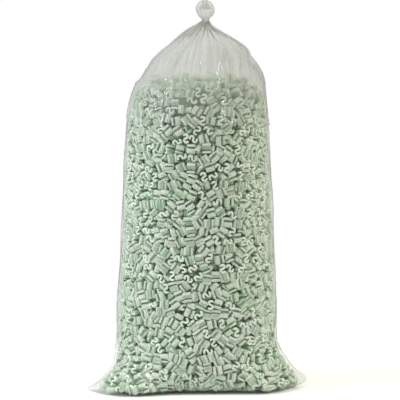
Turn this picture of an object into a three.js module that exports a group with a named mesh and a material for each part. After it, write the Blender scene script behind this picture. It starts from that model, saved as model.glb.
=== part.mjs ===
// Packing peanut bag: a tied clear film bag, full of S-shaped foam packing peanuts.
// Millimetres, +Z up, +X to the right of someone in front of the bag, who looks along +Y.
// The origin is on the floor, under the middle of the bag's box.
import * as THREE from 'three';

// Film tube, heat-sealed across the bottom, gathered and knotted at the top.
const FLAT_WIDTH = 762; // across the tube when it lies flat
const HEIGHT = 1275; // floor to the top of the knotted tail
const WALL = 2; // stands for film of 0.04 mm
const NECK_WALL = 11; // the pleats that bunch up in the neck
const TAIL_WALL = 4; // the looser pleats in the tail
const PLEATS = 11; // large pleats that run down from the neck
const PLEAT_DEPTH = 0.07; // of the distance from the bag's middle line
const MOUTH_RADIUS = 5; // the last gap in the gathered mouth
const FILL_GAP = 0.8; // between the film and the fill

// Fill: heaped foam peanuts, level with the top of the straight body.
const FILL_EDGE = 980; // where the fill's top meets the film
const FILL_CROWN = 1000; // the middle of the heap, under the loose peanuts

// One foam peanut: an S-shaped strand, cut to length.
const STRAND = 9; // thickness of the strand
const TURN_RADIUS = 7.25; // middle line of each half of the S
const PEANUT_LENGTH = 30; // the cut length, along the strand's own axis
const TURN_START = Math.PI * 1.5; // each half of the S starts at the S's middle
const TURN_SWEEP = THREE.MathUtils.degToRad(250);
const TURN_STEPS = 5;
const LOOSE_PEANUTS = 34; // on top of the heap

// How finely the film and the fill are made.
const AROUND = 40;
const RINGS_PER_STATION = 2;

const film = new THREE.MeshStandardMaterial({
  color: 0xdfe5e0, roughness: 0.18, metalness: 0, transparent: true, opacity: 0.4,
});
const foam = new THREE.MeshStandardMaterial({ color: 0xc4dfca, roughness: 0.75, metalness: 0 });

/** Half depth of an oval of this half width, with the girth of the film tube (Ramanujan's rule). */
function halfDepth(halfWidth) {
  let low = 1;
  let high = FLAT_WIDTH;
  for (let i = 0; i < 40; i += 1) {
    const b = (low + high) / 2;
    const girth = Math.PI * (3 * (halfWidth + b)
      - Math.sqrt((3 * halfWidth + b) * (halfWidth + 3 * b)));
    if (girth < 2 * FLAT_WIDTH) low = b;
    else high = b;
  }
  return (low + high) / 2;
}

/** A level of the bag: its left and right edges, its half depth and how pointed its two ends are. */
function station(z, left, right, depth = halfDepth((right - left) / 2), corner = 0) {
  return { z, left, right, depth, corner };
}

// From the floor up. The two bottom corners of the tube stick out as ears.
const STATIONS = [
  station(0, -338, 333, 150, 1),
  station(7, -361, 353, 167, 1),
  station(24, -334, 350, 187, 0.95),
  station(52, -302, 330, 203, 0.8),
  station(92, -275, 300, 213, 0.5),
  station(148, -269, 268, 217, 0.15),
  station(270, -266, 264),
  station(440, -256, 258),
  station(640, -247, 249),
  station(850, -236, 238),
  station(FILL_EDGE, -212, 228, 232),
  station(1032, -184, 222, 208),
  station(1084, -150, 198, 176),
  station(1124, -104, 170, 137),
  station(1160, -62, 106, 88),
  station(1188, -24, 58, 38),
  station(1204, 9, 44, 16),
  station(1216, 7, 46, 18),
  station(1234, -5, 57, 28),
  station(1252, -6, 56, 29),
  station(1267, 3, 46, 20),
  station(HEIGHT, 18, 32, 7),
];
const EDGE = STATIONS.findIndex((s) => s.z === FILL_EDGE);
const NECK = STATIONS.findIndex((s) => s.z > 1200);
const LAST = STATIONS.length - 1;
const edges = new THREE.CatmullRomCurve3(
  STATIONS.map((s) => new THREE.Vector3(s.left, s.right, s.z)), false, 'catmullrom');
const forms = new THREE.CatmullRomCurve3(
  STATIONS.map((s) => new THREE.Vector3(s.depth, s.corner, 0)), false, 'catmullrom');

/** The bag's level at a place between stations, where 0 is the first station and 1 the next. */
function level(at) {
  const t = THREE.MathUtils.clamp(at / LAST, 0, 1);
  const edge = edges.getPoint(t);
  const form = forms.getPoint(t);
  return {
    at, z: Math.max(edge.z, 0), left: edge.x, right: edge.y,
    depth: form.x, corner: THREE.MathUtils.clamp(form.y, 0, 1),
  };
}

/** The place between stations at which the bag reaches a height. */
function placeOfHeight(z) {
  let low = 0;
  let high = LAST;
  for (let i = 0; i < 40; i += 1) {
    const middle = (low + high) / 2;
    if (level(middle).z < z) low = middle;
    else high = middle;
  }
  return (low + high) / 2;
}

/** How strongly the film is pleated at a level: nothing on the full body, all of it in the neck. */
function pleating(at) {
  return THREE.MathUtils.smoothstep(at, EDGE - 0.5, NECK);
}

/** One closed ring of points at a level, moved inwards by inset and to the height z. */
function ring(section, inset, z = section.z) {
  const centre = (section.left + section.right) / 2;
  const reach = (section.right - section.left) / 2 - inset;
  const depth = section.depth - inset;
  const power = 2 + section.corner;
  const sharpness = (1 + section.corner) / 2;
  const swing = PLEAT_DEPTH * pleating(section.at);
  const points = [];
  for (let i = 0; i < AROUND; i += 1) {
    const angle = (i / AROUND) * Math.PI * 2;
    const c = Math.cos(angle);
    const s = Math.sin(angle);
    const across = Math.max(1 - Math.abs(c) ** power, 0) ** sharpness;
    const pleat = 1 - swing * (1 + Math.cos(angle * PLEATS + section.at));
    points.push([centre + reach * c * pleat, depth * Math.sign(s) * across * pleat, z]);
  }
  return points;
}

/** A closed body skinned over rings, from a pole under the first one to a pole or rim at the last. */
function skin(rings, firstPole, lastPole) {
  const positions = [...rings.flat(), firstPole, lastPole].flat();
  const indices = [];
  const first = rings.length * AROUND;
  for (let k = 0; k < AROUND; k += 1) {
    const next = (k + 1) % AROUND;
    indices.push(first, next, k);
    const top = (rings.length - 1) * AROUND;
    indices.push(first + 1, top + k, top + next);
    for (let r = 0; r + 1 < rings.length; r += 1) {
      const here = r * AROUND;
      const there = here + AROUND;
      const rises = rings[r + 1][0][2] > rings[r][0][2];
      // Both skins of the film split each patch along the same diagonal, so that they never cross.
      if (rises) indices.push(here + k, here + next, there + next, here + k, there + next, there + k);
      else indices.push(here + k, here + next, there + k, here + next, there + next, there + k);
    }
  }
  const geometry = new THREE.BufferGeometry();
  geometry.setAttribute('position', new THREE.Float32BufferAttribute(positions, 3));
  geometry.setIndex(indices);
  geometry.computeVertexNormals();
  return geometry;
}

/** How far the inside of the film lies in from its outside at a level. */
function wallAt(at) {
  const neck = THREE.MathUtils.smoothstep(at, NECK - 2, NECK);
  const tail = THREE.MathUtils.smoothstep(at, NECK + 1, NECK + 2);
  return THREE.MathUtils.lerp(WALL, NECK_WALL, neck) - (NECK_WALL - TAIL_WALL) * tail;
}

/** The film: up its outside from the floor to the mouth, in through the mouth and down its inside. */
function filmBag() {
  const outside = [];
  for (let i = 0; i <= LAST * RINGS_PER_STATION; i += 1) outside.push(level(i / RINGS_PER_STATION));
  const rings = outside.map((section) => ring(section, 0));
  const lip = outside[outside.length - 1];
  const lipInset = (lip.right - lip.left) / 2 - MOUTH_RADIUS;
  const inside = outside.slice(1, -1).reverse();
  rings.push(ring(lip, lipInset));
  inside.filter((section) => section.z > WALL)
    .forEach((section) => rings.push(ring(section, wallAt(section.at))));
  const floor = level(placeOfHeight(WALL));
  rings.push(ring(floor, 2 * WALL));
  const bottom = middleOf(level(0));
  return skin(rings, [bottom, 0, 0], [bottom, 0, WALL]);
}

function middleOf(section) {
  return (section.left + section.right) / 2;
}

/** Height of the top of the fill, at a share of the way from its middle to the film. */
function heapHeight(share) {
  return FILL_EDGE + (FILL_CROWN - FILL_EDGE) * Math.sqrt(Math.max(1 - share * share, 0));
}

/** The packed peanuts under the loose ones, as one body that follows the inside of the film. */
function peanutFill() {
  const inset = WALL + FILL_GAP;
  const floor = level(placeOfHeight(inset));
  const edge = level(EDGE);
  const rings = [ring(floor, inset + WALL)];
  for (let i = 1; i <= EDGE * RINGS_PER_STATION; i += 1) {
    const section = level(i / RINGS_PER_STATION);
    if (section.z > inset + 1) rings.push(ring(section, inset));
  }
  const half = Math.min((edge.right - edge.left) / 2, edge.depth);
  for (const share of [0.93, 0.8, 0.6, 0.35]) {
    rings.push(ring(edge, inset + half * (1 - share), heapHeight(share)));
  }
  return skin(rings, [middleOf(floor), 0, inset], [middleOf(edge), 0, FILL_CROWN]);
}

/** The middle line of the S: one half turns one way, the other half the other way. */
function strandLine() {
  const half = [];
  for (let i = 0; i <= TURN_STEPS; i += 1) {
    const angle = TURN_START - (TURN_SWEEP * i) / TURN_STEPS;
    const out = new THREE.Vector2(Math.cos(angle), Math.sin(angle));
    const point = out.clone().multiplyScalar(TURN_RADIUS).add(new THREE.Vector2(0, TURN_RADIUS));
    half.push({ point, out });
  }
  const other = half.slice(1).map(({ point, out }) => (
    { point: point.clone().negate(), out: out.clone() }));
  return [...other.reverse(), ...half];
}

/** The outline of the S: along one side of its middle line, round the end and back. */
function peanutGeometry() {
  const line = strandLine();
  const offset = (sign) => line.map(({ point, out }) => (
    point.clone().addScaledVector(out, (sign * STRAND) / 2)));
  const cap = (end, before) => {
    const along = end.point.clone().sub(before.point).normalize();
    return end.point.clone().addScaledVector(along, STRAND * 0.3);
  };
  const last = line.length - 1;
  const outline = [
    ...offset(1), cap(line[last], line[last - 1]),
    ...offset(-1).reverse(), cap(line[0], line[1]),
  ];
  const geometry = new THREE.ExtrudeGeometry(new THREE.Shape(outline), {
    depth: PEANUT_LENGTH, bevelEnabled: false,
  });
  geometry.center();
  return geometry;
}

/** The loose peanuts: spread evenly over the heap, each turned its own way and lying on it. */
function loosePeanuts() {
  const geometry = peanutGeometry();
  geometry.computeBoundingBox();
  const thickness = 2 * geometry.boundingBox.max.x;
  const edge = level(EDGE);
  const spread = 170; // reach of the outermost peanut from the middle of the heap
  const clearance = 1; // under each peanut
  const golden = Math.PI * (3 - Math.sqrt(5));
  const up = new THREE.Vector3(0, 0, 1);
  const onItsSide = new THREE.Quaternion().setFromAxisAngle(new THREE.Vector3(0, 1, 0), Math.PI / 2);
  const peanuts = new THREE.Group();
  peanuts.position.x = middleOf(edge);
  for (let i = 0; i < LOOSE_PEANUTS; i += 1) {
    const reach = spread * Math.sqrt((i + 0.5) / LOOSE_PEANUTS);
    const outwards = new THREE.Vector3(Math.cos(i * golden), Math.sin(i * golden), 0);
    const share = reach / edge.depth;
    const slope = Math.atan(
      ((FILL_CROWN - FILL_EDGE) * share) / Math.sqrt(1 - share * share) / edge.depth);
    const normal = up.clone().applyAxisAngle(up.clone().cross(outwards), slope);
    const endUp = i % 3 === 1;
    const height = endUp ? PEANUT_LENGTH : thickness;
    const mesh = new THREE.Mesh(geometry, foam);
    mesh.name = `peanut_${String(i + 1).padStart(2, '0')}`;
    mesh.position.copy(outwards).multiplyScalar(reach).setZ(heapHeight(share))
      .addScaledVector(normal, height / 2 + clearance);
    mesh.quaternion.setFromUnitVectors(up, normal)
      .multiply(new THREE.Quaternion().setFromAxisAngle(up, i * 1.9));
    if (!endUp) mesh.quaternion.multiply(onItsSide);
    peanuts.add(mesh);
  }
  return peanuts;
}

function named(name, geometry, material) {
  const mesh = new THREE.Mesh(geometry, material);
  mesh.name = name;
  return mesh;
}

const bag = new THREE.Group();
bag.add(named('film_bag', filmBag(), film));
bag.add(named('peanut_fill', peanutFill(), foam));
bag.add(loosePeanuts());

// The ears differ, so the bag is moved until its box stands centred on the origin.
const box = new THREE.Box3().setFromObject(bag);
const middle = box.getCenter(new THREE.Vector3());
bag.position.set(-middle.x, -middle.y, -box.min.z);

export default bag;
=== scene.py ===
"""Packing peanut bag: a tied bag of clear film, packed with S-shaped foam peanuts.

The frame gives every size and place. Metres, Z up, the front of the bag faces -Y.
"""
import math

import bpy
import numpy as np
from bpy.props import FloatProperty, FloatVectorProperty, IntProperty, PointerProperty
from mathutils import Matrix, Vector
from mathutils.bvhtree import BVHTree


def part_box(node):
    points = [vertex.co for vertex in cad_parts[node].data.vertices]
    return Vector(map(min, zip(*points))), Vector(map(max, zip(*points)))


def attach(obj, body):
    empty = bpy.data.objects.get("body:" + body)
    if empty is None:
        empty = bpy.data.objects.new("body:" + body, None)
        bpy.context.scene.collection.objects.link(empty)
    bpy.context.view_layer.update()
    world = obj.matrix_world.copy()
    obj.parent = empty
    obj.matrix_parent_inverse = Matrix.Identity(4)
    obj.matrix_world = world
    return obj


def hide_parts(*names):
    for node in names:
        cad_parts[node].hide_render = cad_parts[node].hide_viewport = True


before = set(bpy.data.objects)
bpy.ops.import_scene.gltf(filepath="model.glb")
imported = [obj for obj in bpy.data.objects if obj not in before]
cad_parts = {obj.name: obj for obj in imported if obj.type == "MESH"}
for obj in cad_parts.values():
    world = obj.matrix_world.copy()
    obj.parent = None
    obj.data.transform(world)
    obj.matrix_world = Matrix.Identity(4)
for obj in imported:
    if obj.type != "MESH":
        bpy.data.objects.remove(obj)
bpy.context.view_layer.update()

bl_info = {
    "name": "Packing peanut bag",
    "version": (1, 0, 0),
    "blender": (4, 5, 0),
    "location": "View3D > Sidebar > Peanut Bag",
    "description": "A tied bag of clear film, packed with S-shaped foam peanuts",
    "category": "Object",
}

FILM_LOW, FILM_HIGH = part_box("film_bag")
FILL_LOW, FILL_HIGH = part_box("peanut_fill")
LOOSE = [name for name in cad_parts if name.startswith("peanut_") and name != "peanut_fill"]
NECK = Vector((0.031, 0, 1.204))  # where the film is knotted
FILL_EDGE = 0.98  # where the heap meets the film

AROUND = 300  # columns of the film's mesh around the tube
CLOTH_AROUND = 200  # columns while the shoulder is simulated

# The heap of peanuts is a low mound with hollows in it.
HEAP_RISE = 0.030  # of its middle, over the top of the frame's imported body
HEAP_FALL = 0.045  # from its middle to its rim
HEAP_HOLLOWS = 0.012
HEAP_REACH = (0.22, 0.235)  # from its middle to its rim, across and from front to back
HEAP_ASIDE = 0.006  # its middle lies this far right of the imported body's

PAINTED_DEPTH_SHADE = 0.75  # how much darker and greener the foam is painted away from the film: painted shade deep in the heap
DEPTH_SHADE_SPAN = (0.009, 0.031)  # where that starts and where it is full

# Each bottom corner is dragged forwards: how far, at which x, and how far to either side.
DRAGS = ((0.125, -0.27, 0.24), (0.05, 0.24, 0.13))
DRAG_HEIGHT = 0.15  # where the drag has faded out
EAR_TIP = 0.010  # the right ear's tip is drawn this far out and off the floor

PEANUT_FORMS = ("shape_full", "shape_open", "shape_tight", "shape_slim")
PLAIN_FORM = "shape_core"
SMOOTH_ANGLE = math.radians(64)  # creases sharper than this stay sharp


# Settings -----------------------------------------------------------------------------------------


class PeanutSettings(bpy.types.PropertyGroup):
    """Sizes and colours of the foam peanuts"""

    strand: FloatProperty(name="Strand", description="Thickness of the foam strand",
                          default=0.0081, unit="LENGTH")
    turn_radius: FloatProperty(name="Turn radius", description="Middle line of each half of the S",
                               default=0.0065, unit="LENGTH")
    cut_length: FloatProperty(name="Cut length", description="How long each strand is cut",
                              default=0.027, unit="LENGTH")
    sweep: FloatProperty(name="Sweep", description="How far each half of the S curls round",
                         default=math.radians(250), subtype="ANGLE")
    spacing: FloatProperty(name="Spacing", description="Distance between peanuts as they are poured",
                           default=0.0290, unit="LENGTH")
    settling: IntProperty(name="Settling", description="Steps in which the poured peanuts settle",
                          default=130)
    spreading: FloatProperty(name="Spreading", description="Push towards the film at each step",
                             default=0.0003, unit="LENGTH")
    pale: FloatVectorProperty(name="Pale foam", description="Colour of the palest peanuts",
                              default=(0.82, 0.89, 0.81, 1), size=4, subtype="COLOR")
    # The deep green is also the colour of painted shade, deep in the heap and in the hollows between the
    # ribs.
    deep: FloatVectorProperty(name="Deep foam", description="Colour of the greenest peanuts",
                              default=(0.45, 0.74, 0.47, 1), size=4, subtype="COLOR")


class FilmSettings(bpy.types.PropertyGroup):
    """Sizes and finish of the clear film"""

    flat_width: FloatProperty(name="Flat width", description="Across the tube when it lies flat",
                              default=0.762, unit="LENGTH")
    flat_length: FloatProperty(name="Flat length", description="From the bottom seal to the mouth",
                               default=1.60, unit="LENGTH")
    row_height: FloatProperty(name="Row height", description="Height of one row of the film's mesh",
                              default=0.0075, unit="LENGTH")
    taut_length: FloatProperty(name="Taut length", description="Film above the body, on the left",
                               default=0.445, unit="LENGTH")
    slack_length: FloatProperty(name="Slack length", description="Film above the body, on the right",
                                default=0.452, unit="LENGTH")
    neck_radius: FloatProperty(name="Neck radius", description="Of the film bunched in the knot",
                               default=0.013, unit="LENGTH")
    air: FloatProperty(name="Air", description="Pressure of the air shut in above the peanuts",
                       default=1.5)
    tint: FloatVectorProperty(name="Tint", description="Colour of the milky haze in the film",
                              default=(0.49, 0.50, 0.48, 1), size=4, subtype="COLOR")
    roughness: FloatProperty(name="Roughness", description="Of the film's shine",
                             default=0.07, subtype="FACTOR", min=0, max=1)


class StageSettings(bpy.types.PropertyGroup):
    """Camera and lights"""

    distance: FloatProperty(name="Distance", description="From the camera to the bag",
                            default=4.5, unit="LENGTH")
    eye_height: FloatProperty(name="Eye height", description="Height of the camera",
                              default=0.71, unit="LENGTH")
    aim_height: FloatProperty(name="Aim height", description="Height that the camera looks at",
                              default=0.616, unit="LENGTH")
    aside: FloatProperty(name="Aside", description="How far right of the origin the camera stands",
                         default=0.013, unit="LENGTH")
    field: FloatProperty(name="Field", description="Width of the view at the bag",
                         default=1.32, unit="LENGTH")


# Small helpers ------------------------------------------------------------------------------------


def smooth(value, low, high):
    """0 below low, 1 above high, and a smooth rise between them."""
    t = np.clip((np.asarray(value, float) - low) / (high - low), 0, 1)
    return t * t * (3 - 2 * t)


def bump(value, middle, reach):
    """1 at the middle, falling smoothly to 0 at this distance from it."""
    return 1 - smooth(np.abs(np.asarray(value, float) - middle), 0, reach)


def leaning(points):
    """The bottom corners are dragged forwards over the floor, and the right one lifts a little."""
    moved = np.array(points, float)
    x, z = moved[..., 0], moved[..., 2]
    near_floor = 1 - smooth(z, 0.0, DRAG_HEIGHT)
    moved[..., 1] -= near_floor * sum(far * bump(x, middle, reach) for far, middle, reach in DRAGS)
    right_ear = smooth(x, 0.29, 0.355) * (1 - smooth(z, 0.02, 0.08))
    moved[..., 0] += EAR_TIP * right_ear
    moved[..., 2] += EAR_TIP * right_ear
    return moved


def deselect():
    bpy.ops.object.select_all(action="DESELECT")


def activate(piece):
    deselect()
    piece.select_set(True)
    bpy.context.view_layer.objects.active = piece


def triangles_of(pieces):
    """All corners and triangles of these objects, as two arrays."""
    corners, triangles, count = [], [], 0
    for piece in pieces:
        mesh = piece.data
        mesh.calc_loop_triangles()
        co = np.empty(len(mesh.vertices) * 3)
        mesh.vertices.foreach_get("co", co)
        tri = np.empty(len(mesh.loop_triangles) * 3, int)
        mesh.loop_triangles.foreach_get("vertices", tri)
        corners.append(co.reshape(-1, 3))
        triangles.append(tri.reshape(-1, 3) + count)
        count += len(mesh.vertices)
    return np.concatenate(corners), np.concatenate(triangles)


def tree_of(*pieces):
    corners, triangles = triangles_of(pieces)
    return BVHTree.FromPolygons(corners.tolist(), triangles.tolist(), all_triangles=True)


def new_piece(name, mesh, material):
    """A finished piece that stays with the bag."""
    piece = bpy.data.objects.new(name, mesh)
    bpy.context.collection.objects.link(piece)
    mesh.materials.clear()
    mesh.materials.append(material)
    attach(piece, "root")
    return piece


# Materials ----------------------------------------------------------------------------------------


class Nodes:
    """Adds and joins the nodes of one material."""

    def __init__(self, name):
        self.material = bpy.data.materials.new(name)
        self.material.use_nodes = True
        self.tree = self.material.node_tree
        self.tree.nodes.clear()

    def add(self, kind, inputs=None, **settings):
        node = self.tree.nodes.new(kind)
        for key, value in settings.items():
            setattr(node, key, value)
        for key, value in (inputs or {}).items():
            if isinstance(value, bpy.types.NodeSocket):
                self.tree.links.new(value, node.inputs[key])
            else:
                node.inputs[key].default_value = value
        return node

    def attribute(self, name):
        return self.add("ShaderNodeAttribute", attribute_name=name).outputs["Fac"]

    def ranged(self, value, low, high, new_low, new_high):
        """This value, moved from one range to another and kept inside it."""
        node = self.add("ShaderNodeMapRange", {
            "Value": value, "From Min": low, "From Max": high, "To Min": new_low, "To Max": new_high})
        return node.outputs["Result"]

    def worked(self, operation, *numbers):
        """The outcome of one operation on up to three numbers."""
        return self.add("ShaderNodeMath", dict(enumerate(numbers)), operation=operation).outputs[0]

    def finish(self, shader):
        self.add("ShaderNodeOutputMaterial", {"Surface": shader})
        return self.material


def foam_material(settings):
    """Matte mint foam: each peanut has its own tone, ribs in bump relief with painted shade in the hollows
    between them, and fine open cells; away from the film the tone also holds painted shade.
    """
    nodes = Nodes("mint_foam")
    place = nodes.add("ShaderNodeTexCoord").outputs["Object"]
    mottle = nodes.add("ShaderNodeTexNoise", {"Vector": place, "Scale": 160.0, "Detail": 2.0})
    turns = nodes.worked("MULTIPLY", nodes.attribute("ribs"), 2 * math.pi)
    wave = nodes.worked("COSINE", turns)
    # Painted shade: the colour darkens in the hollows between the ribs.
    painted_groove_shade = nodes.ranged(wave, -1.0, 1.0, -0.42, -0.05)
    tone = nodes.worked("ADD", nodes.worked("MULTIPLY", mottle.outputs["Fac"], 0.4), painted_groove_shade)
    tone = nodes.worked("ADD", tone, nodes.attribute("tone"))
    # The tone, painted shade included, picks a colour between the deep green and the pale foam.
    colour = nodes.add("ShaderNodeValToRGB", {"Fac": tone})
    colour.color_ramp.elements[0].color = settings.deep
    colour.color_ramp.elements[1].color = settings.pale
    cells = nodes.add("ShaderNodeTexVoronoi", {"Vector": place, "Scale": 700.0})
    skin = nodes.add("ShaderNodeBump", {
        "Height": cells.outputs["Distance"], "Strength": 0.35, "Distance": 0.0006})
    relief = nodes.add("ShaderNodeBump", {
        "Height": wave, "Strength": 0.8, "Distance": 0.0012, "Normal": skin.outputs["Normal"]})
    foam = nodes.add("ShaderNodeBsdfPrincipled", {
        "Base Color": colour.outputs["Color"], "Roughness": 0.82, "Normal": relief.outputs["Normal"]})
    foam.inputs["Specular IOR Level"].default_value = 0.25
    return nodes.finish(foam.outputs["BSDF"])


def film_material(settings):
    """Clear film: see-through with a milky haze, most at a slant, and a shine that wrinkles break up."""
    nodes = Nodes("clear_film")
    place = nodes.add("ShaderNodeUVMap", uv_map="tube").outputs["UV"]
    along = nodes.add("ShaderNodeMapping", {"Vector": place, "Scale": (60.0, 3.5, 1.0)})
    drawn = nodes.add("ShaderNodeTexNoise", {
        "Vector": along.outputs["Vector"], "Scale": 1.0, "Detail": 3.0, "Distortion": 0.6})
    finer = nodes.add("ShaderNodeMapping", {"Vector": place, "Scale": (240.0, 22.0, 1.0)})
    fine = nodes.add("ShaderNodeTexNoise", {
        "Vector": finer.outputs["Vector"], "Scale": 1.0, "Detail": 2.0})
    height = nodes.worked("MULTIPLY_ADD", fine.outputs["Fac"], 0.18, drawn.outputs["Fac"])
    relief = nodes.add("ShaderNodeBump", {
        "Height": height, "Strength": 0.18, "Distance": 0.003})
    edge = nodes.add("ShaderNodeLayerWeight", {"Blend": 0.35}).outputs["Facing"]
    edge_haze = nodes.ranged(edge, 0.50, 1.0, 0.0, 0.26)
    streak = nodes.ranged(drawn.outputs["Fac"], 0.42, 0.68, 0.85, 1.5)
    haze = nodes.worked("MULTIPLY", nodes.attribute("haze"), streak)
    haze = nodes.worked("ADD", haze, edge_haze)
    clear = nodes.add("ShaderNodeBsdfTransparent", {"Color": (0.97, 0.98, 0.97, 1)})
    milky = nodes.add("ShaderNodeBsdfPrincipled", {
        "Base Color": settings.tint, "Roughness": 0.7})
    body = nodes.add("ShaderNodeMixShader", {
        0: haze, 1: clear.outputs["BSDF"], 2: milky.outputs["BSDF"]})
    shine = nodes.add("ShaderNodeBsdfGlossy", {
        "Color": (1, 1, 1, 1), "Roughness": settings.roughness, "Normal": relief.outputs["Normal"]})
    slant = nodes.add("ShaderNodeLayerWeight", {"Blend": 0.5, "Normal": relief.outputs["Normal"]})
    mirrored = nodes.ranged(nodes.worked("POWER", slant.outputs["Facing"], 5.0), 0.0, 1.0, 0.045, 0.85)
    film = nodes.add("ShaderNodeMixShader", {
        0: mirrored, 1: body.outputs["Shader"], 2: shine.outputs["BSDF"]})
    return nodes.finish(film.outputs["Shader"])


def plain_material(name, colour, roughness):
    nodes = Nodes(name)
    surface = nodes.add("ShaderNodeBsdfPrincipled", {"Base Color": colour, "Roughness": roughness})
    return nodes.finish(surface.outputs["BSDF"])


# Foam peanuts -------------------------------------------------------------------------------------


def select_faces(mesh, wanted):
    """In edit mode, selects the faces whose middle passes the test."""
    bpy.ops.mesh.select_all(action="DESELECT")
    bpy.ops.object.mode_set(mode="OBJECT")
    for face in mesh.polygons:
        face.select = wanted(face)
    bpy.ops.object.mode_set(mode="EDIT")


def model_peanut(name, strand, radius, length, sweep, steps, bevel):
    """One S: a slice of strand spun round one half, and that half turned about to make the other."""
    deselect()
    bpy.ops.mesh.primitive_plane_add(size=1, rotation=(0, math.pi / 2, 0))
    peanut = bpy.context.object
    peanut.name = name
    peanut.scale = (length, strand, 1)
    bpy.ops.object.transform_apply(location=True, rotation=True, scale=True)
    bpy.ops.object.mode_set(mode="EDIT")
    bpy.ops.mesh.select_mode(type="FACE")
    bpy.ops.mesh.select_all(action="SELECT")
    bpy.ops.mesh.spin(steps=steps, angle=-sweep, center=(0, radius, 0), axis=(0, 0, 1))
    bpy.ops.mesh.select_all(action="SELECT")
    bpy.ops.mesh.duplicate()
    bpy.ops.transform.rotate(value=math.pi, orient_axis="Z", center_override=(0, 0, 0))
    bpy.ops.mesh.select_all(action="SELECT")
    bpy.ops.mesh.remove_doubles(threshold=strand / 100)
    select_faces(peanut.data, lambda face: abs(face.center.x) < strand / 50
                 and abs(face.center.y) < strand / 50 and abs(face.normal.x) > 0.9)
    bpy.ops.mesh.delete(type="FACE")
    bpy.ops.mesh.select_all(action="SELECT")
    bpy.ops.mesh.normals_make_consistent(inside=False)
    bpy.ops.object.mode_set(mode="OBJECT")
    if bevel:
        rims = peanut.modifiers.new("rims", "BEVEL")
        rims.width = bevel
        rims.segments = 1
        rims.limit_method = "ANGLE"
        rims.angle_limit = math.radians(62)
        bpy.ops.object.modifier_apply(modifier=rims.name)
    bpy.ops.object.shade_smooth_by_angle(angle=SMOOTH_ANGLE)
    add_ribs(peanut.data, radius)
    return peanut


def add_ribs(mesh, radius):
    """How far round its half of the S each face corner is, counted in ribs. The cut ends have none."""
    rib = math.radians(38)  # from one rib to the next
    values = np.zeros(len(mesh.loops))
    for face in mesh.polygons:
        if abs(face.normal.z) > 0.5:
            continue
        for loop in face.loop_indices:
            x, y, _ = mesh.vertices[mesh.loops[loop].vertex_index].co
            side = 1 if y > 0 else -1
            values[loop] = math.atan2(side * x - 1e-6, side * y - radius) / rib
    mesh.attributes.new("ribs", "FLOAT", "CORNER").data.foreach_set("value", values)


class PEANUTBAG_OT_shapes(bpy.types.Operator):
    """Model the S-shaped peanut: fuller and slimmer ones to be seen, and a plain one for the core"""

    bl_idname = "peanutbag.shapes"
    bl_label = "Peanut shapes"

    # Strand, turn radius and sweep of each form, as shares of the settings.
    SCALES = ((1.0, 1.0, 1.0), (0.90, 1.03, 0.90), (0.94, 1.0, 1.07), (0.82, 0.98, 1.0))
    TURN_STEPS = 5  # in each half of the S
    PLAIN_TURN_STEPS = 3
    RIM = 0.13  # width of the rounded rims, as a share of the strand

    def execute(self, context):
        s = context.scene.peanut_settings
        for name, (strand, radius, sweep) in zip(PEANUT_FORMS, self.SCALES):
            model_peanut(name, s.strand * strand, s.turn_radius * radius, s.cut_length,
                         s.sweep * sweep, self.TURN_STEPS, s.strand * self.RIM)
        model_peanut(PLAIN_FORM, s.strand, s.turn_radius, s.cut_length, s.sweep,
                     self.PLAIN_TURN_STEPS, 0)
        return {"FINISHED"}


class BagInside:
    """The room inside the film: how far a point is from the film and the loose peanuts, and the way in."""

    STEP = 0.012  # of the grid of points at which the distance is worked out
    ABOVE = 0.06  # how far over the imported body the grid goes

    def __init__(self):
        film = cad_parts["film_bag"]
        loose = [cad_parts[name] for name in LOOSE]
        walls = tree_of(film, *loose)
        film_only = tree_of(film)
        margin = self.STEP
        self.low = np.array(FILM_LOW) - margin
        high = np.array([FILM_HIGH.x, FILM_HIGH.y, FILL_HIGH.z + self.ABOVE]) + margin
        self.counts = np.ceil((high - self.low) / self.STEP).astype(int) + 1
        self.depth = np.zeros(self.counts)
        axes = [self.low[k] + self.STEP * np.arange(self.counts[k]) for k in range(3)]
        centre = (FILL_LOW.x + FILL_HIGH.x) / 2
        for k, z in enumerate(axes[2]):
            for i, x in enumerate(axes[0]):
                for j, y in enumerate(axes[1]):
                    point = Vector((x, y, z))
                    near, normal, _, away = walls.find_nearest(point)
                    free = (point - near).dot(normal) > 0
                    if free and z > 0 and self.is_outside(film_only, point, centre):
                        free = False
                    self.depth[i, j, k] = away if free and z > 0 else -away

    @staticmethod
    def is_outside(film, point, centre):
        """Seen from the bag's middle line, the film lies between the line and the point."""
        middle = Vector((centre, 0, point.z))
        reach = point - middle
        if reach.length < 0.02:
            return False
        return film.ray_cast(middle, reach.normalized(), reach.length)[0] is not None

    def look(self, points):
        """Distance from the walls at each point, and the direction away from them."""
        cell = (points - self.low) / self.STEP
        i = np.clip(np.floor(cell).astype(int), 0, self.counts - 2)
        f = np.clip(cell - i, 0, 1)
        c = np.empty((2, 2, 2, len(points)))
        for a in (0, 1):
            for b in (0, 1):
                for d in (0, 1):
                    c[a, b, d] = self.depth[i[:, 0] + a, i[:, 1] + b, i[:, 2] + d]
        fx, fy, fz = f.T
        along_x = c[0] * (1 - fx) + c[1] * fx
        along_y = along_x[0] * (1 - fy) + along_x[1] * fy
        depth = along_y[0] * (1 - fz) + along_y[1] * fz
        rise_x = c[1] - c[0]
        rise_x = rise_x[0] * (1 - fy) + rise_x[1] * fy
        rise_y = along_x[1] - along_x[0]
        inwards = np.stack([
            rise_x[0] * (1 - fz) + rise_x[1] * fz,
            rise_y[0] * (1 - fz) + rise_y[1] * fz,
            along_y[1] - along_y[0]], 1)
        inwards /= np.linalg.norm(inwards, axis=1, keepdims=True) + 1e-9
        return depth, inwards


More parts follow.
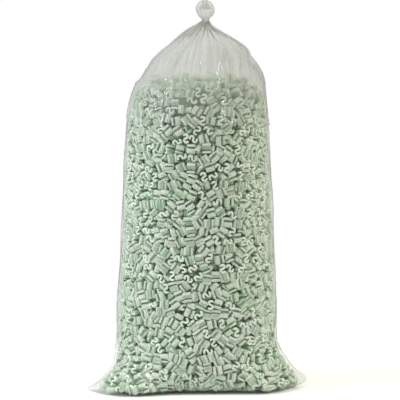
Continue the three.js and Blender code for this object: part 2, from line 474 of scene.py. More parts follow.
def heap_top(points):
    """Height of the heap over each point: a low mound, highest near the middle."""
    middle = (FILL_LOW.x + FILL_HIGH.x) / 2 + HEAP_ASIDE
    share = ((points[:, 0] - middle) / HEAP_REACH[0]) ** 2 + (points[:, 1] / HEAP_REACH[1]) ** 2
    hollows = 0.5 + 0.5 * np.cos(61 * points[:, 0] + 1) * np.cos(53 * points[:, 1])
    return FILL_HIGH.z + HEAP_RISE - HEAP_FALL * share - HEAP_HOLLOWS * hollows


def unit(vectors):
    return vectors / np.linalg.norm(vectors, axis=1, keepdims=True)


class Pour:
    """Peanuts poured into the bag, each a rigid body of eight balls, pushed apart until they settle."""

    BALL = 0.0070  # radius
    REACH = 0.006  # how much further than touching a pair of balls is watched
    CLEAR = 0.0038  # between a ball and the film, as corners stand out beyond the balls
    JITTER = 0.25  # of the spacing, when poured
    LIFT = 0.010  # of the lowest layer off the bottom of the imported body
    WALL_ROOM = 0.008  # least distance from the film and from the heap's top, when poured
    TOP_ROOM = 0.006
    FLAT_WITHIN = 0.032  # peanuts nearer than this to the film lie flat against it
    END_ON = 0.30  # of those, the share that show an end
    EAGERNESS = 1.4  # how far beyond its pushes each peanut moves
    FASTEST_TURN = 0.2  # radians at a step
    SINKING = 0.0002  # at a step, while the heap comes together
    COMING_TOGETHER = 0.6  # the share of the steps in which it does
    SPREAD_WITHIN = 0.09  # peanuts nearer than this to the film move towards it

    def __init__(self, settings, inside, rng):
        self.inside = inside
        self.spreading = settings.spreading
        self.half = np.array([
            settings.turn_radius + settings.strand / 2,
            2 * settings.turn_radius + settings.strand / 2,
            settings.cut_length / 2])
        signs = [(x, y, z) for x in (-1, 1) for y in (-1, 1) for z in (-1, 1)]
        self.balls = np.array(signs) * (self.half - self.BALL)
        inertia = np.eye(3) * (self.balls ** 2).sum() - self.balls.T @ self.balls
        self.ease = np.linalg.inv(inertia)
        self.place = self.seeds(settings.spacing, rng)
        self.turn = self.turns(rng)
        self.owner = np.repeat(np.arange(len(self.place)), len(self.balls))

    def seeds(self, a, rng):
        """Where the peanuts start: layers of a loose grid, every other layer half a step aside."""
        top = FILL_HIGH + Vector((0, 0, HEAP_RISE))
        axes = [np.arange(low, high, a) for low, high in zip(FILL_LOW, top)]
        points = np.stack(np.meshgrid(*axes, indexing="ij"), -1).reshape(-1, 3)
        odd = np.round((points[:, 2] - FILL_LOW.z) / a) % 2
        points[:, :2] += (odd * a / 2)[:, None]
        points += rng.uniform(-self.JITTER, self.JITTER, points.shape) * a
        points[:, 2] += self.LIFT
        depth, _ = self.inside.look(points)
        return points[(depth > self.WALL_ROOM) & (points[:, 2] < heap_top(points) - self.TOP_ROOM)]

    def turns(self, rng):
        """Any way round in the core. Against the film they lie flat, and three in ten end on."""
        count = len(self.place)
        w, x, y, z = unit(rng.normal(size=(count, 4))).T
        turn = np.stack([
            np.stack([1 - 2 * (y * y + z * z), 2 * (x * y - z * w), 2 * (x * z + y * w)], 1),
            np.stack([2 * (x * y + z * w), 1 - 2 * (x * x + z * z), 2 * (y * z - x * w)], 1),
            np.stack([2 * (x * z - y * w), 2 * (y * z + x * w), 1 - 2 * (x * x + y * y)], 1)], 1)
        depth, inwards = self.inside.look(self.place)
        end_on = rng.random(count) < self.END_ON
        other = rng.normal(size=(count, 3))
        other = unit(other - (other * inwards).sum(1, keepdims=True) * inwards)
        third = np.cross(-inwards, other)
        flat = np.stack([-inwards, other, third], 2)
        flat[end_on] = np.stack([other, third, -inwards], 2)[end_on]
        near = depth < self.FLAT_WITHIN
        turn[near] = flat[near]
        return turn

    def pairs(self, balls):
        """Balls of two different peanuts that touch or nearly do, found by sorting them into cells."""
        reach = 2 * self.BALL + self.REACH
        cell = np.floor(balls / reach).astype(np.int64)
        cell -= cell.min(0)
        size = cell.max(0) + 3
        key = (cell[:, 0] * size[1] + cell[:, 1]) * size[2] + cell[:, 2]
        order = np.argsort(key, kind="stable")
        sorted_key = key[order]
        steps = (-1, 0, 1)
        offsets = [(x * size[1] + y) * size[2] + z for x in steps for y in steps for z in steps]
        first, second = [], []
        for offset in [o for o in offsets if o >= 0]:
            start = np.searchsorted(sorted_key, key + offset, "left")
            count = np.searchsorted(sorted_key, key + offset, "right") - start
            i = np.repeat(np.arange(len(balls)), count)
            shift = np.repeat(start - np.concatenate([[0], np.cumsum(count)[:-1]]), count)
            j = order[shift + np.arange(len(i))]
            keep = self.owner[i] != self.owner[j]
            if offset == 0:
                keep &= i < j
            i, j = i[keep], j[keep]
            close = ((balls[i] - balls[j]) ** 2).sum(1) < reach * reach
            first.append(i[close])
            second.append(j[close])
        return np.concatenate(first), np.concatenate(second)

    def settle(self, steps):
        """Peanuts that overlap move and turn apart, while the heap sinks and spreads to the film."""
        count = len(self.place)
        for step in range(steps):
            arms = np.einsum("nij,kj->nki", self.turn, self.balls)
            balls = (self.place[:, None, :] + arms).reshape(-1, 3)
            if step % 5 == 0:
                i, j = self.pairs(balls)
            push, touches = self.pushes(balls, i, j)
            touched = np.maximum(touches.reshape(count, -1).sum(1), 1)
            push = push.reshape(count, -1, 3)
            torque = np.cross(arms, push).sum(1)
            spin = np.einsum("nij,jk,nlk,nl->ni", self.turn, self.ease, self.turn, torque)
            spin *= np.minimum(len(self.balls) / touched, 2.5)[:, None]
            fast = np.linalg.norm(spin, axis=1, keepdims=True) + 1e-9
            spin *= np.minimum(1, self.FASTEST_TURN / fast)
            self.place += push.sum(1) / touched[:, None] * self.EAGERNESS
            if step < steps * self.COMING_TOGETHER:
                self.place[:, 2] -= self.SINKING
                depth, inwards = self.inside.look(self.place)
                self.place -= inwards * (self.spreading * (depth < self.SPREAD_WITHIN))[:, None]
            axes = self.turn.transpose(0, 2, 1)
            turned = self.turn + np.cross(spin[:, None, :], axes).transpose(0, 2, 1)
            x = unit(turned[:, :, 0])
            y = unit(turned[:, :, 1] - (turned[:, :, 1] * x).sum(1, keepdims=True) * x)
            self.turn = np.stack([x, y, np.cross(x, y)], 2)

    def pushes(self, balls, i, j):
        """How each ball is pushed by its neighbours, the film and the heap's top, and by how many."""
        apart = balls[i] - balls[j]
        distance = np.linalg.norm(apart, axis=1) + 1e-9
        overlap = np.maximum(2 * self.BALL - distance, 0)
        half = apart * (overlap / distance / 2)[:, None]
        count = len(balls)
        push = np.stack([
            np.bincount(i, half[:, k], count) - np.bincount(j, half[:, k], count) for k in range(3)], 1)
        touches = np.bincount(i, overlap > 0, count) + np.bincount(j, overlap > 0, count)
        depth, inwards = self.inside.look(balls)
        into_wall = np.maximum(self.BALL + self.CLEAR - depth, 0)
        push += inwards * into_wall[:, None]
        over_top = np.maximum(balls[:, 2] - heap_top(balls) + self.BALL, 0)
        push[:, 2] -= over_top
        return push, touches + (into_wall > 0) + (over_top > 0)


def arrays_of(mesh):
    """Corners, loops, first loop of each face, and ribs of a peanut."""
    corners = np.empty(len(mesh.vertices) * 3)
    mesh.vertices.foreach_get("co", corners)
    loops = np.empty(len(mesh.loops), int)
    mesh.loops.foreach_get("vertex_index", loops)
    starts = np.empty(len(mesh.polygons), int)
    mesh.polygons.foreach_get("loop_start", starts)
    ribs = np.empty(len(mesh.loops))
    mesh.attributes["ribs"].data.foreach_get("value", ribs)
    return corners.reshape(-1, 3), loops, starts, ribs


def mesh_of(name, corners, loops, starts):
    mesh = bpy.data.meshes.new(name)
    mesh.vertices.add(len(corners))
    mesh.vertices.foreach_set("co", corners.ravel())
    mesh.loops.add(len(loops))
    mesh.loops.foreach_set("vertex_index", loops)
    mesh.polygons.add(len(starts))
    mesh.polygons.foreach_set("loop_start", starts)
    mesh.update(calc_edges=True)
    mesh.validate()
    return mesh


def joined_copies(name, shapes, kinds, places, turns, scales, tones, inside, homes):
    """One mesh that holds a copy of a shape at each place, painted darker and greener the further it is
    from the film: painted shade deep in the heap.

    The homes are where the peanuts lay before the corners were dragged forwards.
    """
    corners, loops, starts, tone, ribs = [], [], [], [], []
    corner_count = loop_count = 0
    for kind, shape in enumerate(shapes):
        own, own_loops, own_starts, own_ribs = arrays_of(shape.data)
        pick = np.flatnonzero(kinds == kind)
        sized = own[None] * scales[pick][:, None, :]
        around = np.einsum("nij,nkj->nki", turns[pick], sized)
        placed = around + places[pick][:, None, :]
        depth, _ = inside.look((around + homes[pick][:, None, :]).reshape(-1, 3))
        step = np.arange(len(pick))[:, None]
        corners.append(placed.reshape(-1, 3))
        loops.append((own_loops[None] + corner_count + step * len(own)).ravel())
        starts.append((own_starts[None] + loop_count + step * len(own_loops)).ravel())
        # Painted shade: the tone is lowered towards the deep green the further the peanut lies from the
        # film.
        tone.append(np.repeat(tones[pick], len(own)) - PAINTED_DEPTH_SHADE * smooth(depth, *DEPTH_SHADE_SPAN))
        ribs.append(np.tile(own_ribs, len(pick)))
        corner_count += len(pick) * len(own)
        loop_count += len(pick) * len(own_loops)
    mesh = mesh_of(name, np.concatenate(corners), np.concatenate(loops), np.concatenate(starts))
    mesh.attributes.new("tone", "FLOAT", "POINT").data.foreach_set("value", np.concatenate(tone))
    mesh.attributes.new("ribs", "FLOAT", "CORNER").data.foreach_set("value", np.concatenate(ribs))
    return mesh


def own_axes(points):
    """The directions in which these points spread, the widest first."""
    around = points - points.mean(0)
    _, axes = np.linalg.eigh(around.T @ around)
    return axes[:, ::-1]


def placing_of(node, shape, size):
    """Where a loose peanut of the frame lies and how it is turned, as a place and a turn of this shape."""
    there, _ = triangles_of([node])
    here, _ = triangles_of([shape])
    surface = tree_of(node)
    own, target = own_axes(here), own_axes(there)
    middle = there.mean(0)
    best = None
    for flip in (1, -1):
        for flop in (1, -1):
            axes = target * np.array([flip, flop, 1])
            if np.linalg.det(axes) * np.linalg.det(own) < 0:
                axes[:, 2] *= -1
            turn = axes @ own.T
            placed = here @ turn.T * size + middle
            miss = sum(surface.find_nearest(Vector(p))[3] for p in placed[::3])
            if best is None or miss < best[0]:
                best = (miss, turn)
    return middle, best[1]


class PEANUTBAG_OT_fill(bpy.types.Operator):
    """Pour the peanuts into the bag, let them settle, and finish the loose ones on top"""

    bl_idname = "peanutbag.fill"
    bl_label = "Foam peanuts"

    SEEN = 0.042  # peanuts nearer than this to the film are the ones that show
    SEEN_TOP = 0.06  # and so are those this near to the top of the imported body, or over it
    LAYERS = 4
    QUICK_STEPS = 40
    LOOSE_SIZE = 1.1  # the frame's loose peanuts are this much bigger than the poured ones

    def execute(self, context):
        settings = context.scene.peanut_settings
        self.foam = foam_material(settings)
        rng = np.random.default_rng(7)
        self.inside = BagInside()
        pour = Pour(settings, self.inside, rng)
        pour.settle(settings.settling)
        shapes = [bpy.data.objects[name] for name in PEANUT_FORMS]
        plain = [bpy.data.objects[PLAIN_FORM]]
        self.add_poured(pour, shapes, plain, rng)
        self.add_loose(shapes, rng)
        for shape in shapes + plain:
            bpy.data.objects.remove(shape)
        return {"FINISHED"}

    def add_poured(self, pour, shapes, plain, rng):
        """The poured peanuts in layers: plain ones in the core, and full ones where they show."""
        count = len(pour.place)
        depth, _ = self.inside.look(pour.place)
        seen = (depth < self.SEEN) | (pour.place[:, 2] > FILL_HIGH.z - self.SEEN_TOP)
        places = leaning(pour.place)
        scales = rng.uniform(0.93, 1.03, (count, 3))
        tones = np.clip(rng.normal(0.86, 0.13, count), 0, 1.1)
        kinds = rng.integers(0, len(shapes), count)
        upwards = np.argsort(pour.place[:, 2])
        hidden = np.array_split(upwards[~seen[upwards]], 2)
        shown = np.array_split(upwards[seen[upwards]], self.LAYERS)
        groups = [(f"peanuts_core_{k + 1}", members, plain) for k, members in enumerate(hidden)]
        groups += [(f"peanuts_layer_{k + 1}", members, shapes) for k, members in enumerate(shown)]
        for name, members, made_of in groups:
            mask = np.zeros(count, bool)
            mask[members] = True
            mesh = joined_copies(
                name, made_of, kinds[mask] % len(made_of), places[mask], pour.turn[mask],
                scales[mask], tones[mask], self.inside, pour.place[mask])
            piece = self.add_foam(name, mesh)
            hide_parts("peanut_fill")

    def add_loose(self, shapes, rng):
        """The loose peanuts on top, each in its own place in the frame."""
        fits = [placing_of(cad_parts[name], shapes[0], self.LOOSE_SIZE) for name in LOOSE]
        for number, (middle, turn) in enumerate(fits):
            shape = shapes[number % len(shapes)]
            name = f"loose_peanut_{number + 1:02d}"
            tone = np.clip(rng.normal(0.8, 0.12, 1), 0, 1)
            mesh = joined_copies(name, [shape], np.zeros(1, int), middle[None], turn[None],
                                 np.full((1, 3), self.LOOSE_SIZE), tone, self.inside, middle[None])
            piece = self.add_foam(name, mesh)
            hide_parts(LOOSE[number])

    def add_foam(self, name, mesh):
        piece = new_piece(name, mesh, self.foam)
        activate(piece)
        bpy.ops.object.shade_smooth_by_angle(angle=SMOOTH_ANGLE)
        return piece


# Film ---------------------------------------------------------------------------------------------


class FilmFrame:
    """The outside of the film in the frame: its outline at a height, and its reach at a height."""

    WALL = 0.001  # the drawn film runs in the middle of the frame's wall

    def __init__(self):
        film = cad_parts["film_bag"]
        self.tree = tree_of(film)
        corners, _ = triangles_of([film])
        heights = np.round(corners[:, 2], 4)
        self.levels = np.unique(heights)
        rings = [corners[heights == level] for level in self.levels]
        self.left = np.array([ring[:, 0].min() for ring in rings])
        self.right = np.array([ring[:, 0].max() for ring in rings])
        self.depth = np.array([ring[:, 1].max() for ring in rings])

    def reach(self, z):
        """Left and right edges and half depth at a height."""
        return [np.interp(z, self.levels, side) for side in (self.left, self.right, self.depth)]

    def outline(self, z, columns=AROUND):
        """One point for each column, on the film at this height."""
        left, right, _ = self.reach(z)
        centre, half = (left + right) / 2, (right - left) / 2 - self.WALL
        points = []
        for angle in angles_of(columns):
            x = centre + half * math.cos(angle)
            side = math.copysign(1, math.sin(angle))
            hit = self.tree.ray_cast(Vector((x, side, z)), Vector((0, -side, 0)))[0]
            y = hit.y - side * self.WALL if hit and abs(math.sin(angle)) > 1e-6 else 0.0
            points.append((x, y if y * side > 0 else 0.0, z))
        return np.array(points)


def angles_of(columns):
    return np.linspace(0, 2 * math.pi, columns, endpoint=False)


def with_columns(rows, columns):
    """The same rings of points with another number of columns, joined by smooth waves."""
    waves = np.fft.rfft(rows, axis=-2)
    return np.fft.irfft(waves, columns, axis=-2) * (columns / rows.shape[-2])


def ripple(u, v, rng, count, low, high):
    """A soft random wave over the film, made of a few slanted ones. It is about -1 to 1."""
    total = np.zeros(np.broadcast(u, v).shape)
    for _ in range(count):
        around = rng.integers(low, high)
        total += np.cos(2 * math.pi * around * u + rng.uniform(-1, 1) * around * v * 6
                        + rng.uniform(0, 2 * math.pi))
    return total / math.sqrt(count)


def outwards(rows):
    """The way out of rings of points, level with the floor."""
    along = np.roll(rows, -1, -2) - np.roll(rows, 1, -2)
    out = np.stack([along[..., 1], -along[..., 0], np.zeros(rows.shape[:-1])], -1)
    return out / (np.linalg.norm(out, axis=-1, keepdims=True) + 1e-9)


FLOOR_GAP = 0.0012  # under the film where it lies on the floor
UNDER_SHARES = (0.0, 0.12, 0.3, 0.5, 0.7, 0.85, 0.94)  # rows under the bag, from the seal to the rim
LOW_HEIGHTS = (0.0035, 0.007, 0.0105, 0.015, 0.020, 0.026, 0.033)  # closer rows, where it turns up


def body_rows(form, settings, top):
    """The film from its bottom seal, under the bag and up the body."""
    floor = form.outline(0.0006)
    floor[:, 2] = FLOOR_GAP
    rows = []
    for share in UNDER_SHARES:
        row = floor.copy()
        row[:, 1] *= share
        rows.append(row)
    rows.append(floor)
    low = LOW_HEIGHTS[-1]
    count = round((top - low) / settings.row_height)
    heights = list(LOW_HEIGHTS) + list(np.linspace(low, top, count + 1)[1:])
    rows += [form.outline(z) for z in heights]
    return rows


LUMP = 0.0005  # how far the peanuts press into the film
BULGE = 0.0012  # broader swellings
SINK = 0.0010  # the film lies this far inside the frame's, to make room for both
SLACK_FOLD = 0.0010  # folds where it hangs free


def lumps(rows, rng):
    """Peanuts press small lumps into the film, and it hangs in folds where it comes off them."""
    u = angles_of(AROUND)[None] / (2 * math.pi)
    z = rows[:, :, 2]
    v = z.mean(1)[:, None]
    small = ripple(u, v * 3, rng, 9, 20, 46)
    large = ripple(u, v * 0.6, rng, 7, 5, 16)
    slack = ripple(u, v * 0.35, rng, 12, 14, 44)
    body = smooth(z, 0.004, 0.03) * (1 - smooth(z, 1.05, 1.15))
    hanging = smooth(z, 0.86, 0.97) * (1 - smooth(z, 1.02, 1.12))
    shift = body * (LUMP * small + BULGE * large - SINK) + hanging * SLACK_FOLD * slack
    return rows + outwards(rows) * shift[..., None]


# Ridges on the front of the film, which the back repeats: from x, z to x, z, then width and height.
FOLDS = (
    (0.087, 1.055, 0.086, 0.935, 0.0060, 0.0036),
    (0.101, 1.050, 0.102, 0.945, 0.0060, 0.0036),
    (0.100, 1.045, 0.138, 0.963, 0.0070, 0.0052),
    (0.151, 1.035, 0.161, 0.979, 0.0060, 0.0032),
    (0.192, 1.035, 0.206, 0.970, 0.0085, 0.0040),
    (0.214, 1.038, 0.216, 0.960, 0.0070, 0.0030),
    (-0.010, 1.150, -0.070, 1.060, 0.0100, 0.0030),
    (0.060, 1.165, 0.150, 1.120, 0.0120, 0.0040),
    (0.020, 1.140, -0.005, 1.070, 0.0070, 0.0022),
    (0.014, 0.965, 0.030, 0.915, 0.0050, 0.0020),
    (-0.126, 0.945, -0.150, 0.865, 0.0080, 0.0036),
    (-0.098, 0.960, -0.118, 0.890, 0.0060, 0.0024),
    (-0.165, 1.080, -0.215, 0.985, 0.0080, 0.0040),
    (-0.190, 1.000, -0.232, 0.880, 0.0090, 0.0036),
    (-0.315, 0.020, -0.205, 0.105, 0.0080, 0.0045),
    (-0.290, 0.012, -0.180, 0.030, 0.0070, 0.0040),
    (-0.330, 0.040, -0.262, 0.150, 0.0090, 0.0040),
    (0.180, 0.070, 0.240, 0.115, 0.0065, 0.0045),
    (0.200, 0.040, 0.275, 0.105, 0.0065, 0.0045),
    (0.300, 0.006, 0.335, 0.040, 0.0055, 0.0040),
    (0.235, 0.150, 0.262, 0.300, 0.0090, 0.0030),
)


def folded(rows):
    """The folds on the front, and the same folds turned about to the back."""
    height = np.zeros(rows.shape[:2])
    for x0, z0, x1, z1, width, ridge in FOLDS:
        for facing in (-1, 1):
            start = np.array([-facing * x0, z0])
            run = np.array([-facing * (x1 - x0), z1 - z0])
            offset = rows[:, :, [0, 2]] - start
            share = np.clip(offset @ run / (run @ run), 0, 1)
            away = np.linalg.norm(offset - share[..., None] * run, axis=2)
            taper = np.sqrt(4 * share * (1 - share))
            on_side = facing * rows[:, :, 1] > 0
            height += ridge * taper * np.exp(-(away / width) ** 2) * on_side
    return rows + outwards(rows) * height[..., None]


SHOULDER_ROWS = 72  # of the film above the body, while it is gathered
NECK_ROWS = 2  # of those, the last ones, which the knot holds
NECK_ROW_HEIGHT = 0.0045
HOLD_HEIGHT = 0.06  # the body's hold on the film fades out over this height
DRAWN_FRAME = 20  # the neck is drawn together by this frame
LAST_FRAME = 34


def open_shoulder(form, start, settings):
    """Rows of film above the body before it is gathered: the tube goes straight on up."""
    angles = angles_of(CLOTH_AROUND)
    base = start[0, 2]
    taut, slack = settings.taut_length, settings.slack_length
    rows = [with_columns(start, CLOTH_AROUND)]
    for share in np.arange(1, SHOULDER_ROWS + 1) / SHOULDER_ROWS:
        z = base + share * (taut + slack) / 2
        row = form.outline(z, CLOTH_AROUND) if z < FILL_EDGE else rows[-1].copy()
        row[:, 2] = base + share * (taut + (slack - taut) * (1 + np.cos(angles)) / 2)
        rows.append(row)
    return np.array(rows)


def drawn_shoulder(rows, settings):
    """The same rows with the last ones drawn into the neck, in pleats."""
    drawn = rows.copy()
    angles = angles_of(CLOTH_AROUND)
    pleats = settings.neck_radius + 0.0035 * np.cos(17 * angles + 1.3) + 0.002 * np.cos(7 * angles + 2)
    for k in range(NECK_ROWS):
        height = np.full(CLOTH_AROUND, NECK.z + k * NECK_ROW_HEIGHT)
        drawn[k - NECK_ROWS] = np.stack([
            NECK.x + pleats * np.cos(angles), pleats * np.sin(angles), height], 1)
    return drawn


def draw_together(sheet, rows):
    """Moves the film from its open shape to these rows in the first frames."""
    sheet.shape_key_add(name="open")
    drawn = sheet.shape_key_add(name="gathered")
    drawn.data.foreach_set("co", rows.ravel())
    for value, number in ((0, 1), (1, DRAWN_FRAME)):
        drawn.value = value
        drawn.keyframe_insert("value", frame=number)


def hold_ends(sheet, rows, base):
    """The body holds the film's first rows, and the knot its last ones."""
    held = np.clip((base + HOLD_HEIGHT - rows[:, :, 2]) / HOLD_HEIGHT, 0, 1)
    held[-NECK_ROWS:] = 1
    held = held.ravel()
    group = sheet.vertex_groups.new(name="held")
    for index in np.flatnonzero(held):
        group.add([int(index)], float(held[index]), "REPLACE")


def add_cloth(sheet, settings):
    """Thin soft film, with a little air under it."""
    cloth = sheet.modifiers.new("Cloth", "CLOTH")
    soft = cloth.settings
    soft.quality = 5
    soft.mass = 0.05
    soft.vertex_group_mass = "held"
    soft.tension_stiffness = 25
    soft.compression_stiffness = 25
    soft.shear_stiffness = 10
    soft.bending_stiffness = 0.4
    soft.air_damping = 4
    soft.effector_weights.gravity = 0.1
    soft.use_pressure = True
    soft.uniform_pressure_force = settings.air
    cloth.collision_settings.distance_min = 0.003
    cloth.point_cache.frame_start = 1
    cloth.point_cache.frame_end = LAST_FRAME


def simulated(sheet):
    """Where the film's points are at the last frame."""
    for number in range(1, LAST_FRAME + 1):
        bpy.context.scene.frame_set(number)
    ready = sheet.evaluated_get(bpy.context.evaluated_depsgraph_get())
    shape = ready.to_mesh()
    points = np.empty(len(shape.vertices) * 3, np.float32)
    shape.vertices.foreach_get("co", points)
    ready.to_mesh_clear()
    return points.astype(float)


def gather(form, start, settings):
    """Film above the body, drawn together into the neck by a cloth simulation. Returns its rows."""
    base = start[0, 2]
    rows = open_shoulder(form, start, settings)
    sheet = bpy.data.objects.new("shoulder_film", tube_mesh("shoulder_film", rows))
    bpy.context.collection.objects.link(sheet)
    draw_together(sheet, drawn_shoulder(rows, settings))
    hold_ends(sheet, rows, base)
    heap = heap_collider(form, base)
    add_cloth(sheet, settings)
    points = simulated(sheet)
    for helper in (sheet, heap):
        bpy.data.objects.remove(helper)
    bpy.context.scene.frame_set(1)
    return with_columns(points.reshape(rows.shape), AROUND)


# The mound that the film is gathered over: heights, and how much of the bag it fills there.
MOUND = ((0.9, 0.985), (0.97, 0.975), (1.0, 0.93), (1.018, 0.8), (1.028, 0.6), (1.034, 0.3))


def heap_collider(form, base):
    """A smooth mound in place of the peanuts, for the film to lie on."""
    rows = []
    for z, scale in ((base - 0.08, MOUND[0][1]), *MOUND):
        row = form.outline(min(z, FILL_EDGE), CLOTH_AROUND // 4)
        middle = row[:, 0].mean()
        row[:, 0] = middle + (row[:, 0] - middle) * scale
        row[:, 1] *= scale
        row[:, 2] = z
        rows.append(row)
    mesh = tube_mesh("heap", np.array(rows), capped=True)
    heap = bpy.data.objects.new("heap", mesh)
    bpy.context.collection.objects.link(heap)
    heap.modifiers.new("Collision", "COLLISION")
    heap.collision.thickness_outer = 0.004
    heap.collision.cloth_friction = 5
    return heap


def tube_mesh(name, rows, capped=False):
    """A tube skinned over rings of points."""
    count = rows.shape[1]
    k = np.arange(count)
    beside = (k + 1) % count
    faces = [np.stack([k, beside, beside + count, k + count], 1) + r * count
             for r in range(len(rows) - 1)]
    polygons = np.concatenate(faces).tolist()
    if capped:
        polygons.append(tuple(range((len(rows) - 1) * count, len(rows) * count)))
    mesh = bpy.data.meshes.new(name)
    mesh.from_pydata(rows.reshape(-1, 3).tolist(), [], polygons)
    mesh.update()
    return mesh


def fit_to_frame(rows, form):
    """Draws the gathered film out or in from the neck to the frame's own outline, on all four sides."""
    levels = np.arange(0.96, 1.205, 0.007)
    flat = rows.reshape(-1, 3) - np.array((NECK.x, 0, 0))
    moved = flat.copy()
    fade = smooth(flat[:, 2], 0.93, 0.97)
    for axis, side in ((0, -1), (0, 1), (1, -1), (1, 1)):
        ratios = []
        for level in levels:
            ring = flat[np.abs(flat[:, 2] - level) < 0.006]
            left, right, depth = form.reach(level)
            edge = depth if axis else side * (right if side > 0 else left) - side * NECK.x
            ratios.append(np.clip(edge / (side * ring[:, axis]).max(), 0.7, 2.2))
        smoothed = np.convolve(np.pad(ratios, 1, "edge"), (0.25, 0.5, 0.25), "valid")
        pick = side * flat[:, axis] > 0
        ratio = np.interp(flat[pick, 2], levels, smoothed)
        moved[pick, axis] *= 1 + (ratio - 1) * fade[pick]
    return (moved + np.array((NECK.x, 0, 0))).reshape(rows.shape)


def calmed(rows):
    """Air under the film smooths its many small pleats, except close to the neck."""
    kept = 9  # waves round the bag, the broadest ones, that stay as they are
    waves = np.fft.rfft(rows, axis=1)
    waves[:, kept:] = 0
    broad = np.fft.irfft(waves, rows.shape[1], axis=1)
    share = (0.12 + 0.45 * smooth(rows[:, :, 2], 1.12, 1.19))[..., None]
    return broad * (1 - share) + rows * share


# Folds round the tail: how many, how deep, and which way they twist.
TAIL_FOLDS = ((3, 0.06, 1), (5, 0.05, -1), (9, 0.03, 1), (17, 0.02, 0))
TAIL_TWIST = 1.4
TAIL_ROWS = 26
TUCKS = ((0.003, 0.8), (0.010, 1.0), (0.020, 1.6), (0.030, 2.1))  # down inside the tail, and how wide


def tail_rows(form, last_row, rng):
    """The knotted tail: a small pouch of bunched film, with its mouth tucked back inside."""
    bottom = last_row[:, 2].mean()
    top = FILM_HIGH.z - 0.001
    angles = angles_of(AROUND)
    wander = rng.uniform(0, 2 * math.pi, len(TAIL_FOLDS))
    rows = []
    for share in np.linspace(0, 1, TAIL_ROWS)[1:]:
        z = bottom + (top - bottom) * math.sin(share * math.pi / 2) ** 0.9
        left, right, depth = form.reach(z)
        twist = TAIL_TWIST * share
        fold = sum(deep * np.cos(count * angles + phase + way * twist)
                   for (count, deep, way), phase in zip(TAIL_FOLDS, wander))
        fold = 0.96 + fold * (1.4 - 0.8 * math.sin(share * math.pi))
        row = np.stack([
            (left + right) / 2 + (right - left) / 2 * np.cos(angles) * fold,
            depth * np.sin(angles) * fold, np.full(AROUND, z)], 1)
        mix = float(smooth(share, 0.0, 0.1))
        entry = last_row.copy()
        entry[:, 2] = z
        rows.append(entry * (1 - mix) + row * mix)
    rim = rows[-1]
    middle = rim.mean(0)
    for drop, scale in TUCKS:
        row = middle + (rim - middle) * scale
        row[:, 2] = rim[:, 2] - drop
        rows.append(row)
    return rows


def film_haze(rows):
    """How milky the film is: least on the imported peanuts, most over the heap, and less in the tail."""
    z = rows[:, :, 2]
    loose = smooth(z, 0.78, 0.93)
    free = smooth(z, 0.90, 1.02)
    tail = smooth(z, 1.20, 1.235)
    return 0.05 + 0.15 * loose + 0.25 * free - 0.18 * tail


def add_tube_map(mesh, rows, flat_width, flat_length):
    """A flat map of the tube, in metres: round it and along it."""
    steps = np.linalg.norm(np.diff(rows, axis=0), axis=2).mean(1)
    along = np.concatenate([[0], np.cumsum(steps)])
    along *= flat_length / along[-1]
    across = np.arange(AROUND + 1) * 2 * flat_width / AROUND
    layer = mesh.uv_layers.new(name="tube")
    coords = []
    for r in range(len(rows) - 1):
        left, right = across[:-1], across[1:]
        low, high = np.full(AROUND, along[r]), np.full(AROUND, along[r + 1])
        coords.append(np.stack([left, low, right, low, right, high, left, high], 1))
    layer.data.foreach_set("uv", np.concatenate(coords).ravel())


class PEANUTBAG_OT_film(bpy.types.Operator):
    """Make the film bag: the body over the peanuts, the gathered shoulder, the knot and its tail"""

    bl_idname = "peanutbag.film"
    bl_label = "Film bag"

    BODY_TOP = 0.86  # where the gathered part starts
    QUICK_TOP = 1.218  # where it ends when nothing is simulated
    QUICK_ROWS = 40
    WELD = 0.0002  # points closer than this are joined

    def execute(self, context):
        settings = context.scene.film_settings
        rng = np.random.default_rng(11)
        form = FilmFrame()
        body = np.array(body_rows(form, settings, self.BODY_TOP))
        shoulder = fit_to_frame(calmed(gather(form, body[-1], settings)), form)
        rows = folded(lumps(np.concatenate([body, shoulder[1:]]), rng))
        rows = np.concatenate([rows, np.array(tail_rows(form, rows[-1], rng))])
        rows = leaning(rows)
        mesh = tube_mesh("film", rows)
        add_tube_map(mesh, rows, settings.flat_width, settings.flat_length)
        haze = film_haze(rows).ravel()
        mesh.attributes.new("haze", "FLOAT", "POINT").data.foreach_set("value", haze)
        mesh.polygons.foreach_set("use_smooth", np.ones(len(mesh.polygons), bool))
        piece = new_piece("film", mesh, film_material(settings))
        activate(piece)
        bpy.ops.object.mode_set(mode="EDIT")
        bpy.ops.mesh.select_all(action="SELECT")
        bpy.ops.mesh.remove_doubles(threshold=self.WELD)
        bpy.ops.object.mode_set(mode="OBJECT")
        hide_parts("film_bag")
        return {"FINISHED"}


# Stage --------------------------------------------------------------------------------------------


def add_light(name, place, size, power, colour, mirrored=True):
    """A soft light aimed at the bag. One that isn't mirrored lights the foam but leaves no shine."""
    data = bpy.data.lights.new(name, "AREA")
    data.shape = "RECTANGLE"
    data.size, data.size_y = size
    data.energy = power
    data.color = colour
    light = bpy.data.objects.new(name, data)
    bpy.context.collection.objects.link(light)
    light.location = place
    middle = Vector((0, 0, 0.9))
    light.rotation_euler = (middle - light.location).to_track_quat("-Z", "Y").to_euler()
    light.visible_glossy = mirrored


COOL = (0.93, 0.98, 1.0)
WARM = (1.0, 0.95, 0.80)
WHITE = (1, 1, 1)


def add_floor():
    """A pale round floor, wide enough to run out of view on all sides."""
    deselect()
    bpy.ops.mesh.primitive_circle_add(vertices=128, radius=1.9, fill_type="NGON")
    floor = bpy.context.object
    floor.name = "floor"
    floor.data.materials.append(plain_material("pale_floor", (0.93, 0.93, 0.93, 1), 0.9))
    floor.visible_glossy = False


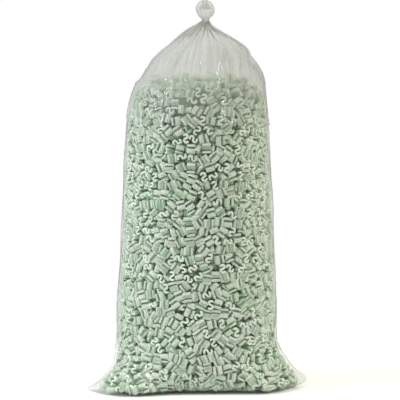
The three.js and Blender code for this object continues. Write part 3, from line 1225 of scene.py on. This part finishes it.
def add_studio(scene):
    """Soft light from all round, strongest from above. The camera sees plain white behind the bag."""
    world = bpy.data.worlds.new("studio")
    world.use_nodes = True
    scene.world = world
    nodes, links = world.node_tree.nodes, world.node_tree.links
    soft = nodes["Background"]
    soft.inputs["Color"].default_value = (1.0, 0.975, 0.90, 1)
    towards = nodes.new("ShaderNodeTexCoord")
    height = nodes.new("ShaderNodeSeparateXYZ")
    links.new(towards.outputs["Generated"], height.inputs[0])
    glow = nodes.new("ShaderNodeMapRange")
    links.new(height.outputs["Z"], glow.inputs["Value"])
    for socket, value in (("From Min", -0.2), ("From Max", 0.7), ("To Min", 0.10), ("To Max", 0.72)):
        glow.inputs[socket].default_value = value
    links.new(glow.outputs["Result"], soft.inputs["Strength"])
    backdrop = nodes.new("ShaderNodeBackground")
    backdrop.inputs["Color"].default_value = (*WHITE, 1)
    mix = nodes.new("ShaderNodeMixShader")
    seen = nodes.new("ShaderNodeLightPath")
    links.new(seen.outputs["Is Camera Ray"], mix.inputs[0])
    links.new(soft.outputs["Background"], mix.inputs[1])
    links.new(backdrop.outputs["Background"], mix.inputs[2])
    links.new(mix.outputs["Shader"], nodes["World Output"].inputs["Surface"])
    scene.view_settings.view_transform = "Standard"


def add_camera(scene, settings):
    data = bpy.data.cameras.new("camera")
    camera = bpy.data.objects.new("camera", data)
    bpy.context.collection.objects.link(camera)
    camera.location = (settings.aside, -settings.distance, settings.eye_height)
    aim = Vector((settings.aside, 0, settings.aim_height))
    camera.rotation_euler = (aim - camera.location).to_track_quat("-Z", "Y").to_euler()
    data.lens = data.sensor_width * settings.distance / settings.field
    scene.camera = camera


class PEANUTBAG_OT_stage(bpy.types.Operator):
    """Set the pale floor, the soft lights and the camera"""

    bl_idname = "peanutbag.stage"
    bl_label = "Stage"

    def execute(self, context):
        add_floor()
        add_light("left_softbox", (-2.75, -1.1, 2.8), (1.8, 1.8), 88, COOL, mirrored=False)
        add_light("left_strip", (-2.3, -1.3, 2.1), (0.10, 2.4), 13, COOL)
        add_light("right_softbox", (2.7, -1.0, 2.7), (1.5, 1.7), 44, WARM, mirrored=False)
        add_light("right_strip", (1.5, -1.6, 2.4), (0.07, 2.8), 13, WARM)
        add_light("back_softbox", (0.2, 2.4, 2.6), (2.0, 1.0), 40, WHITE, mirrored=False)
        add_studio(context.scene)
        add_camera(context.scene, context.scene.stage_settings)
        return {"FINISHED"}


class PEANUTBAG_PT_panel(bpy.types.Panel):
    """The steps that make the bag, in order"""

    bl_idname = "PEANUTBAG_PT_panel"
    bl_label = "Packing peanut bag"
    bl_space_type = "VIEW_3D"
    bl_region_type = "UI"
    bl_category = "Peanut Bag"

    def draw(self, context):
        for step in STEPS:
            self.layout.operator(step.bl_idname)


STEPS = (PEANUTBAG_OT_stage, PEANUTBAG_OT_shapes, PEANUTBAG_OT_fill, PEANUTBAG_OT_film)
CLASSES = (PeanutSettings, FilmSettings, StageSettings, *STEPS, PEANUTBAG_PT_panel)


def register():
    for item in CLASSES:
        bpy.utils.register_class(item)
    bpy.types.Scene.peanut_settings = PointerProperty(type=PeanutSettings)
    bpy.types.Scene.film_settings = PointerProperty(type=FilmSettings)
    bpy.types.Scene.stage_settings = PointerProperty(type=StageSettings)


def unregister():
    del bpy.types.Scene.peanut_settings
    del bpy.types.Scene.film_settings
    del bpy.types.Scene.stage_settings
    for item in reversed(CLASSES):
        bpy.utils.unregister_class(item)


def main():
    register()
    bpy.ops.peanutbag.stage()
    bpy.ops.peanutbag.shapes()
    bpy.ops.peanutbag.fill()
    bpy.ops.peanutbag.film()


if __name__ == "__main__":
    main()
